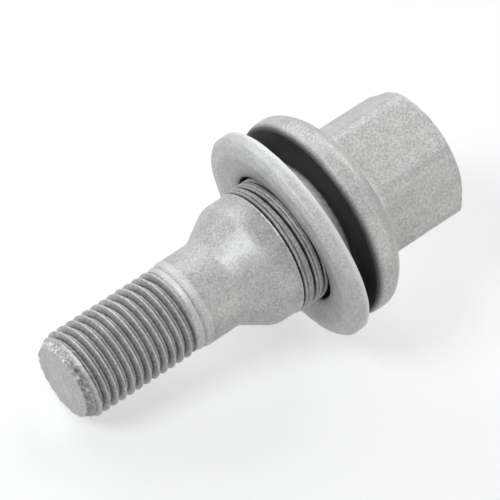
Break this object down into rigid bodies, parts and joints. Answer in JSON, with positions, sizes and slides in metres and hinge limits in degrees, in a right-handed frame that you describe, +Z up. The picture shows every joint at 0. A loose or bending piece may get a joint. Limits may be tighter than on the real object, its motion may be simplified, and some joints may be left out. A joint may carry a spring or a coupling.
{
  "type": "wheel bolt",
  "caption": "Flanged hexagon wheel bolt with a coned shank, rolled retaining ridges and a loose captive washer, lying on its side.",
  "frame": {"origin": "on the floor, under the middle of the bounding box", "axes": "+X along the bolt from the thread's tip to the head, level; +Z up; +Y across the bolt, to the left as seen from the tip looking at the head"},
  "size_m": [0.0696, 0.0354, 0.0345],
  "materials": {
    "bolt": "dull zinc coating, fine mottled grain",
    "washer": "dull zinc coating, smooth"
  },
  "bodies": {
    "bolt": {"bolt": "bolt"},
    "washer": {"washer": "washer"}
  },
  "joints": [
    {"name": "washer_spin", "type": "hinge", "parent": "bolt", "child": "washer", "pos_m": [0.00739, 0, 0.01667], "axis": [0.9326, 0, 0.3608], "continuous": true}
  ]
}
